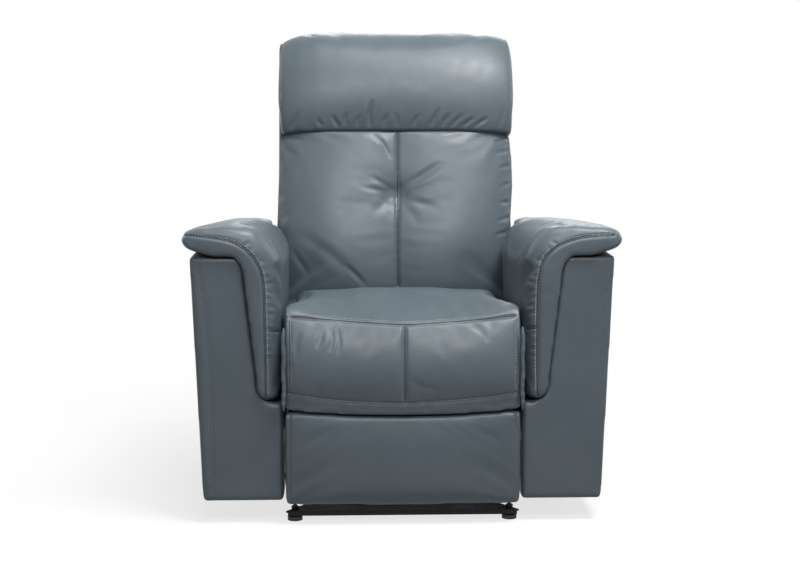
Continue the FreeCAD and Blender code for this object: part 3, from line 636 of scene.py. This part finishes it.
def gathered_edge(name, side, rings=150):
    points = []
    for k in range(rings):
        t = k / (rings - 1)
        wave = math.sin(2 * math.pi * (7 * t + 0.6 * math.sin(5 * t))) * math.sin(3 + 11 * t)
        thick = (EDGE_THICK + EDGE_WAVE * wave) * min(1.0, 9 * t + 0.25, 9 * (1 - t) + 0.25)
        across = side * (EDGE_X + 0.8 * math.sin(17 * t))
        middle = chair(across, EDGE_BEHIND + 6.0 * t ** 6, EDGE_LOW + EDGE_TALL * t)
        points += [Vector(middle) + Vector((c, v, 0)) * thick * MM for c, v in TURN_FINE]
    faces = tube_faces(0, rings, FINE_SIDES)
    return dress(mesh_object(name, points, faces), "chassis", LEATHER)


for name, side in (("seat_side_edge_left", -1), ("seat_side_edge_right", 1)):
    print(gathered_edge(name, side).name)

# %% [markdown]
# The lower back is two crowned panels joined by an upright seam. A third of the way down, one hidden tie
# pulls the seam in, and the leather answers with folds that run out from it like a star. Each fold is
# pressed separately, because a real tuft never pulls evenly. The bottom tucks in behind the seat.

# %% Lower back cushion
BACK_SEAM = [(396.8, 131), (397.2, 165), (397.7, 193.4), (397.4, 240), (398, 286)]
TUFT = [(397.7, 193.4), (397.8, 194.6)]
BACK_HALF, BACK_HELD_TOP = 288.0, 0.40


def shape_back(obj, left=1.0, right=8.0, droop=7.0, crown=20.0, tuck=36.0):
    co = points_of(obj)
    upper, side = fade(co[:, 2] / MM, 740.0, 816.0), fade(np.abs(co[:, 0]) / MM, 150.0, BACK_HALF)
    wider = np.where(co[:, 0] > 0, right, left) * side ** 1.5 * fade(co[:, 2] / MM, 600.0, 680.0)
    co[:, 0] += wider * MM * (1 - 0.6 * upper)
    co[:, 2] -= droop * MM * side ** 4 * upper
    front = np.clip(-normals_of(obj)[:, 1], 0, 1)
    low = (1 - fade(co[:, 2] / MM, 400.0, 600.0)) ** 2
    co[:, 1] += front * (crown * (np.abs(co[:, 0]) / MM / BACK_HALF) ** 3 + tuck * low) * MM
    set_points(obj, co)


# %% Making the lower back
back = skin_from("back_cushion", "back_leather", 6.0, 6)
facing, height = normals_of(back), points_of(back)[:, 2]
framed = (facing[:, 1] > 0.35) | (facing[:, 2] > 0.75) | (height < BACK_HELD_TOP)
draw_in(back, framed, 5.0)
swell(back, framed | near_lines(back, [seen_line(back, BACK_SEAM)[0]], 3.4), cap=14.0)
relax(back, 6)
fill_box(back, "back_cushion", (0,))
shape_back(back)
finer(back)
press(back, seen_line(back, BACK_SEAM)[0], 4.5, 4.5)
press(back, seen_line(back, TUFT, 3)[0], 40.0, 8.0)

# %% Folds of the lower back
BACK_FOLDS = (
    ([(400, 189), (418, 178), (444, 162)], 9.0, 3.4),
    ([(401.6, 197), (420, 203), (443, 209)], 9.0, 2.2),
    ([(403, 193), (425, 187), (448, 186)], 9.0, 1.2),
    ([(395.4, 191.7), (387, 186), (369, 175)], 6.0, 1.9),
    ([(393, 193), (380, 190), (358, 186)], 6.0, 1.5),
    ([(394, 197), (382, 205), (372, 216)], 10.0, 1.2),
    ([(370.9, 132.5), (382, 142), (391.5, 159)], 5.5, 2.6),
    ([(402, 200), (412, 214), (420, 226)], 10.0, 1.0),
    ([(296, 231), (330, 254), (366, 286)], 12.0, 1.8),
    ([(344, 264), (355, 274), (367, 287)], 5.5, 2.0),
    ([(292, 249), (300, 262), (309, 276)], 7.0, 1.8),
    ([(284, 138), (294, 139), (305, 140)], 5.5, 2.0),
    ([(283, 150), (290, 152), (300, 158)], 7.0, 1.2),
)
PUCKER_HEIGHTS = (137, 150, 165, 183, 201, 217, 231)
PUCKER_START, PUCKER_MIDDLE, PUCKER_END = 511, 505, 497
for points, width, depth in BACK_FOLDS:
    fold(back, points, width, depth)
for k, y in enumerate(PUCKER_HEIGHTS):
    tip = (PUCKER_END - 3 * math.cos(k), y + 4 + 2 * math.cos(2.3 * k))
    fold(back, [(PUCKER_START, y), (PUCKER_MIDDLE, y + 1.5), tip], 4.5, 1.9)
# A near-black tube along the upright seam: painted shade for the shadow in its groove.
seam_shade_line("back_seam_shade", back, "back", BACK_SEAM, 1.2)
cushion(back, "back", "back_cushion")

# %% [markdown]
# The head cushion is a fuller roll above the back. Where it is sewn to the back its leather is gathered, so
# many short folds rise from the seam and fade. Their places and lengths are uneven, as gathers are. The roll
# leans a little to the viewer's right, so each side has its own small move, left first.

# %% Head cushion
HEAD_LOW, HEAD_TOP, HEAD_HALF = 800.0, 1055.0, 293.0
SIDE_MOVES, LOW_CORNER_MOVES, TOP_CORNER_MOVES = (8.0, 4.0), (8.0, -4.0), (9.0, -7.0)


def shape_head(obj, droop=7.0):
    co = points_of(obj)
    x, up = co[:, 0] / MM, fade(co[:, 2] / MM, HEAD_LOW, HEAD_TOP)
    left, side = x < 0, np.clip(np.abs(x) / HEAD_HALF, 0, 1)
    low, top = 1 - fade(up, 0.0, 0.3), fade(up, 0.7, 1.0)
    move = np.where(left, *SIDE_MOVES) * side ** 2
    move += np.where(left, *LOW_CORNER_MOVES) * side ** 3 * low ** 1.5
    move += np.where(left, *TOP_CORNER_MOVES) * side ** 4 * top ** 1.5
    co[:, 0] += move * MM
    co[:, 2] -= droop * MM * side ** 6 * low
    set_points(obj, co)


head = skin_from("head_cushion", "head_leather", 6.0, 6)
facing = normals_of(head)
framed = (facing[:, 1] > 0.6) | (facing[:, 2] < -0.6)
draw_in(head, framed, 3.0)
swell(head, framed, slack=0.002, cap=9.0)
relax(head, 4)
fill_box(head, "head_cushion")
shape_head(head)
finer(head)

# %% Gathers of the head cushion
HEAD_FOLDS = (
    ([(369, 127), (369.5, 114), (372.6, 100)], 5.0, 4.2),
    ([(345, 126), (345, 118), (347, 112)], 5.0, 2.6),
    ([(338, 127), (335, 121), (332, 115)], 5.0, 2.6),
    ([(322, 127), (319, 122), (318, 117)], 5.0, 2.2),
    ([(357, 127), (358, 120), (361, 114)], 4.5, 2.0),
    ([(384, 127), (385, 119), (388, 113)], 5.0, 2.2),
    ([(397, 127), (397, 118), (395, 112)], 5.0, 2.0),
    ([(413, 127), (416, 119), (421, 113)], 5.0, 2.0),
    ([(431, 127), (434, 119), (439, 108)], 5.0, 2.8),
    ([(442, 127), (445, 120), (450, 113)], 4.5, 2.8),
    ([(452, 127), (456, 121), (462, 114)], 4.5, 2.6),
    ([(463, 127), (468, 122), (474, 117)], 4.5, 2.8),
    ([(475, 127), (481, 122), (488, 117)], 4.5, 2.8),
    ([(499, 128), (502, 118), (503, 106)], 5.0, 2.0),
    ([(289, 131), (294, 122), (299, 111)], 6.0, 2.4),
)
for points, width, depth in HEAD_FOLDS:
    fold(head, points, width, depth)
cushion(head, "back", "head_cushion")

# %% [markdown]
# Each arm carries a thick pad that rolls over the arm and hangs down inside it. Its front is closed by a
# strip of leather, and a corded seam joins the strip to the pad: it starts at the outer tip, follows the arm
# and turns down. Inside that seam the pad rounds away to the rear, by a quarter of a circle.


# %% Rounding the front of a pad
def round_front(obj, path, turn, radius=48.0, depth=90.0, most=0.92):
    co = points_of(obj)
    front = co[:, 1].min()
    flat = co.copy()
    flat[:, 1] = 0
    line = path.copy()
    line[:, 1] = 0
    dist = line_distance(flat, line)[0]
    seg = np.diff(line, axis=0)
    middle = (line[:-1] + line[1:]) / 2
    nearest = np.array([np.argmin(((middle - p) ** 2).sum(1)) for p in flat])
    away = flat - middle[nearest]
    inner = turn * (seg[nearest, 0] * away[:, 2] - seg[nearest, 2] * away[:, 0]) > 0
    s = np.where(inner, np.minimum(dist, most * radius * MM), 0)
    drop = radius * MM - np.sqrt((radius * MM) ** 2 - s ** 2)
    near = np.clip(1 - (co[:, 1] - front) / (depth * MM), 0, 1)
    co[:, 1] += drop * near
    set_points(obj, co)


# %% Arm pads
PAD_SEAMS = {
    "left": [(185.5, 234.6), (204, 236.4), (224, 239.7), (237.6, 243.7), (249.6, 252.9), (257.7, 263.6),
             (261.7, 274.3), (263.7, 290), (264.4, 324), (265, 357), (265.3, 398)],
    "right": [(614.5, 235.2), (598.7, 235.7), (585.4, 236.7), (569.3, 240.8), (558.6, 245.5), (549.2, 252.9),
              (543.8, 259.6), (540.9, 270.3), (538.7, 285), (537.8, 328), (537.8, 357), (538.2, 395)],
}
CROSS_SEAMS = {
    "left": [(265.5, 331.2), (272, 330.9), (279, 330.4)],
    "right": [(526, 327.7), (532, 328.1), (537, 328.4)],
}
ARM_TOP, PAD_GAP, FAR_OUT = 0.57, 0.6, 600.0


def pad_puckers(pad, seam, turn):
    path = smooth_path(seam, 60)
    for k in range(16, 50, 2):
        p = path[k]
        run = path[k + 1] - path[k - 1]
        inward = np.array([run[1], -run[0]]) * turn / np.linalg.norm(run)
        long = 6.0 + 3.0 * math.sin(2.1 * k) + (4.0 if 24 < k < 38 else 0.0)
        lean = run / np.linalg.norm(run) * (2.0 + 2.0 * math.sin(1.3 * k))
        middle = p + 0.5 * long * inward + 0.3 * lean
        fold(pad, [p + 1.0 * inward, middle, p + long * inward + lean], 3.6, 1.3, 0.3)


def fill_shoulder(pad, turn, amount=8.0):
    facing = normals_of(pad)
    fuller = np.clip(2 * facing[:, 2] * turn * facing[:, 0], 0, 1)
    set_points(pad, points_of(pad) + amount * MM * fuller[:, None] * facing)


def lift_tip(pad, amount=25.0, start=395.0, end=464.0, near=40.0, far=240.0):
    co = points_of(pad)
    out = fade(np.abs(co[:, 0]) / MM, start, end)
    behind = (co[:, 1] - co[:, 1].min()) / MM
    co[:, 2] += amount * MM * out ** 1.3 * (1 - fade(behind, near, far))
    set_points(pad, co)


# %% Making both pads
for side, seam in PAD_SEAMS.items():
    turn = 1 if side == "left" else -1
    pad = skin_from("arm_pad_" + side, "arm_pad_leather_" + side, 6.5, 5)
    facing, co = normals_of(pad), points_of(pad)
    on_arm = (facing[:, 2] < -0.4) | ((-turn * facing[:, 0] > 0.5) & (co[:, 2] < ARM_TOP))
    on_arm |= facing[:, 1] > 0.6
    draw_in(pad, on_arm, 4.0)
    round_front(pad, seen_line(pad, seam)[0], turn)
    relax(pad, 1)
    swell(pad, on_arm | near_lines(pad, [seen_line(pad, seam)[0]], 3.4), slack=0.003, cap=9.0)
    relax(pad, 3)
    fill_shoulder(pad, turn)
    fill_box(pad, "arm_pad_" + side)
    lift_tip(pad)
    inner = SEAT_ROOM + PAD_GAP
    keep_between(pad, 0, *((-FAR_OUT, -inner) if side == "left" else (inner, FAR_OUT)))
    finer(pad)
    press(pad, seen_line(pad, seam)[0], 3.4, 2.6)
    pad_puckers(pad, seam, turn)
    for dy in (-0.9, 0.9):
        press(pad, seen_line(pad, shifted(CROSS_SEAMS[side], 0, dy), 20)[0], 1.8, 1.6)
    cording("pad_cording_" + side, pad, "chassis", seam, 1.3)
    # Near-black tubes beside the corded seam and along the cross seam: painted shade for the shadow in their
    # grooves.
    seam_shade_line("pad_seam_shade_" + side, pad, "chassis", shifted(seam, 0.9 * turn, -0.6), 0.9)
    seam_shade_line("pad_cross_seam_shade_" + side, pad, "chassis", CROSS_SEAMS[side], 0.9)
    sew("pad_stitches_" + side, pad, "chassis", shifted(seam, 2.6 * turn, -1.4), 110)
    cushion(pad, "chassis", "arm_pad_" + side)

# %% [markdown]
# The arm itself is a firm upholstered box with a wide plain front. A felled seam with two rows of stitches
# runs down the front near the outer edge, and another down the outer side. The box only needs softened
# edges and those rows, so no cloth is simulated.

# %% Arm covers
PANEL_INSET = {
    "left": [(560, 8), (530, 12), (470, 20), (390, 25), (300, 22), (200, 18), (72, 13)],
    "right": [(562, 9), (400, 10), (250, 10), (72, 9)],
}
SIDE_SEAM = [(52, 80), (54, 300), (52, 545)]
ARM_TAPER, ARM_LOW, ARM_TALL = 21.0, 50.0, 523.0
FAR = 3.0


def front_line(obj, points, count=110):
    path = smooth_path(points, count)
    starts = [Vector((x * MM, -FAR, z * MM)) for x, z in path]
    return cast(obj, starts, [Vector((0, 1, 0))] * len(path))


def side_line(obj, turn, points, count=110):
    path = smooth_path(points, count)
    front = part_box("arm_cover_right")[0][1]
    starts = [Vector((turn * FAR, front + d * MM, z * MM)) for d, z in path]
    return cast(obj, starts, [Vector((-turn, 0, 0))] * len(path))


def arm_edge(z):
    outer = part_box("arm_cover_right")[1][0]
    return 1000 * outer - ARM_TAPER * (1 - (z - ARM_LOW) / ARM_TALL)


# %% Making both arm covers
for side, insets in PANEL_INSET.items():
    turn = -1 if side == "left" else 1
    cover = skin_from("arm_cover_" + side, "arm_leather_" + side, 6.0, 4)
    fill_box(cover, "arm_cover_" + side)
    seam = [(turn * (arm_edge(z) - inset - 5), z) for z, inset in insets]
    press(cover, front_line(cover, seam)[0], 5.0, 1.6)
    for k, dx in enumerate((-2.8, 2.8)):
        path, normals = front_line(cover, shifted(seam, dx, 0))
        row = stitch_row(f"panel_stitches_{side}_{k}", path, normals, 5.6, 4.0)
        dress(row, "chassis", DULL_THREAD)
    press(cover, side_line(cover, turn, SIDE_SEAM)[0], 4.5, 1.8)
    for k, dd in enumerate((-4.0, 5.0)):
        path, normals = side_line(cover, turn, shifted(SIDE_SEAM, dd, 0))
        row = stitch_row(f"arm_side_stitches_{side}_{k}", path, normals, 5.6, 4.0)
        dress(row, "chassis", DULL_THREAD)
    cushion(cover, "chassis", "arm_cover_" + side)

# %% [markdown]
# The footrest hangs flat below the seat lip. It is a shallow pad on a board, drawn tight at the sides by an
# upright row of stitches, and full in the middle.

# %% Footrest
FOOT_EDGES = {
    "left": [(289.4, 416), (289.2, 455), (289.4, 498)],
    "right": [(517.0, 414), (517.2, 455), (516.8, 497)],
}
FOOT_INSET = 1.5
footrest = skin_from("footrest_pad", "footrest_leather", 5.0, 4)
facing = normals_of(footrest)
framed = (facing[:, 1] > 0.4) | (facing[:, 2] > 0.4)
draw_in(footrest, framed, 3.0)
edge_lines = [seen_line(footrest, row)[0] for row in FOOT_EDGES.values()]
swell(footrest, framed | near_lines(footrest, edge_lines, 4.0), cap=8.0)
relax(footrest, 4)
fill_box(footrest, "footrest_pad")
widen_front(footrest, 248.0, 20.0)
set_low_edge(footrest, 46.2, 0.0, 20.0, 40.0)
finer(footrest)
for side, row in FOOT_EDGES.items():
    press(footrest, seen_line(footrest, row)[0], 3.0, 2.4)
    inset = FOOT_INSET if side == "left" else -FOOT_INSET
    sew("footrest_stitches_" + side, footrest, "footrest", shifted(row, inset, 0), thread=DULL_THREAD)
cushion(footrest, "footrest", "footrest_pad")

# %% [markdown]
# The rear of the back is a smooth leather panel stretched over the frame. It has an upright seam near each
# side and one across, below the head, all top-stitched. Sight lines from behind place them.

# %% Rear cover
REAR_SEAMS = {
    "left": [(-232, 262), (-232, 600), (-228, 985)],
    "right": [(232, 262), (232, 600), (228, 985)],
    "across": [(-230, 800), (0, 792), (230, 800)],
}
STITCH_OFFSETS = {"left": (7, 0), "right": (-7, 0), "across": (0, 7)}
REAR_LIFT = 8.0


def rear_line(obj, points, count=90):
    path = smooth_path(points, count)
    starts = [Vector((x * MM, FAR, z * MM)) for x, z in path]
    return cast(obj, starts, [Vector((0, -1, 0))] * len(path))


rear = skin_from("back_outer_shell", "rear_leather", 7.0, 5)
fill_box(rear, "back_outer_shell")
co = points_of(rear)
co[:, 2] += REAR_LIFT * MM * fade(co[:, 2] / MM, 960.0, 1010.0)
set_points(rear, co)
finer(rear)
for seam in REAR_SEAMS.values():
    press(rear, rear_line(rear, seam)[0], 4.0, 2.6)
for name, seam in REAR_SEAMS.items():
    path, normals = rear_line(rear, shifted(seam, *STITCH_OFFSETS[name]))
    dress(stitch_row("rear_stitches_" + name, path, normals), "back", THREAD)
cushion(rear, "back", "back_outer_shell")

# %% [markdown]
# The studio is plain: a pale floor, and a white surround that only the camera and reflections see. The floor
# returns little light, so that undersides stay dark. A key lamp stands above the front right, a narrow strip
# in front gives the leather its sheen, one hangs overhead, and weak ones light the sides and the rear.


# %% Surround
def light_path_mix(tree, first, second):
    rays = tree.nodes.new("ShaderNodeLightPath")
    seen = tree.nodes.new("ShaderNodeMath")
    seen.operation = "MAXIMUM"
    tree.links.new(rays.outputs["Is Camera Ray"], seen.inputs[0])
    more = tree.nodes.new("ShaderNodeMath")
    more.operation = "MAXIMUM"
    tree.links.new(rays.outputs["Is Glossy Ray"], more.inputs[0])
    tree.links.new(rays.outputs["Is Transmission Ray"], more.inputs[1])
    tree.links.new(more.outputs[0], seen.inputs[1])
    mix = tree.nodes.new("ShaderNodeMixShader")
    tree.links.new(seen.outputs[0], mix.inputs[0])
    tree.links.new(first, mix.inputs[1])
    tree.links.new(second, mix.inputs[2])
    return mix.outputs[0]


world = bpy.data.worlds.new("studio")
bpy.context.scene.world = world
world.use_nodes = True
sky = world.node_tree
soft = sky.nodes["Background"]
soft.inputs["Color"].default_value = (1.0, 1.0, 1.0, 1.0)
soft.inputs["Strength"].default_value = 0.035
white = sky.nodes.new("ShaderNodeBackground")
white.inputs["Color"].default_value = (1.0, 1.0, 1.0, 1.0)
white.inputs["Strength"].default_value = 1.0
around = light_path_mix(sky, soft.outputs[0], white.outputs[0])
sky.links.new(around, sky.nodes["World Output"].inputs["Surface"])

# %% Floor
REACH = 30.0
CORNERS = [(-REACH, -REACH, 0), (REACH, -REACH, 0), (REACH, REACH, 0), (-REACH, REACH, 0)]
floor = mesh_object("floor", CORNERS, [(0, 1, 2, 3)])
paper, nodes, links, skin = new_material("white_paper")
nodes.remove(skin)
matt = nodes.new("ShaderNodeBsdfDiffuse")
matt.inputs["Color"].default_value = (0.86, 0.86, 0.86, 1.0)
glow = nodes.new("ShaderNodeEmission")
glow.inputs["Color"].default_value = (1.0, 1.0, 1.0, 1.0)
pale = nodes.new("ShaderNodeMixShader")
place = nodes.new("ShaderNodeTexCoord")
apart = nodes.new("ShaderNodeVectorMath")
apart.operation = "LENGTH"
links.new(place.outputs["Object"], apart.inputs[0])
spread = nodes.new("ShaderNodeMapRange")
spread.inputs["From Min"].default_value = 0.55
spread.inputs["From Max"].default_value = 1.5
spread.inputs["To Min"].default_value = 0.74
spread.inputs["To Max"].default_value = 1.0
links.new(apart.outputs["Value"], spread.inputs["Value"])
links.new(spread.outputs["Result"], pale.inputs[0])
links.new(matt.outputs[0], pale.inputs[1])
links.new(glow.outputs[0], pale.inputs[2])
bounce = nodes.new("ShaderNodeBsdfDiffuse")
bounce.inputs["Color"].default_value = (0.15, 0.15, 0.15, 1.0)
under = light_path_mix(paper.node_tree, bounce.outputs[0], pale.outputs[0])
links.new(under, nodes["Material Output"].inputs["Surface"])
floor.data.materials.append(paper)


# %% Lamps
def softbox(name, place, target, size, power):
    lamp = bpy.data.lights.new(name, "AREA")
    lamp.shape = "RECTANGLE"
    lamp.size, lamp.size_y = size
    lamp.energy = power
    obj = bpy.data.objects.new(name, lamp)
    obj.location = place
    obj.rotation_euler = (Vector(target) - Vector(place)).to_track_quat("-Z", "Y").to_euler()
    bpy.context.scene.collection.objects.link(obj)
    return obj


softbox("key_lamp", (0.95, -1.35, 3.0), (0.0, 0.05, 0.75), (1.2, 0.7), 86.0)
softbox("strip_lamp", (0.05, -2.9, 2.4), (0.0, 0.1, 0.72), (1.5, 0.28), 44.0)
softbox("top_lamp", (0.2, -0.5, 3.1), (0.0, -0.05, 0.5), (1.6, 1.2), 36.0)
softbox("left_lamp", (-2.4, 1.0, 1.7), (0.0, 0.2, 0.5), (1.2, 1.2), 10.0)
softbox("right_lamp", (2.4, 1.0, 1.7), (0.0, 0.2, 0.5), (1.2, 1.2), 10.0)
softbox("rear_lamp", (0.4, 2.7, 2.2), (0.0, 0.2, 0.6), (1.6, 1.2), 26.0)
bpy.context.scene.view_settings.view_transform = "Standard"
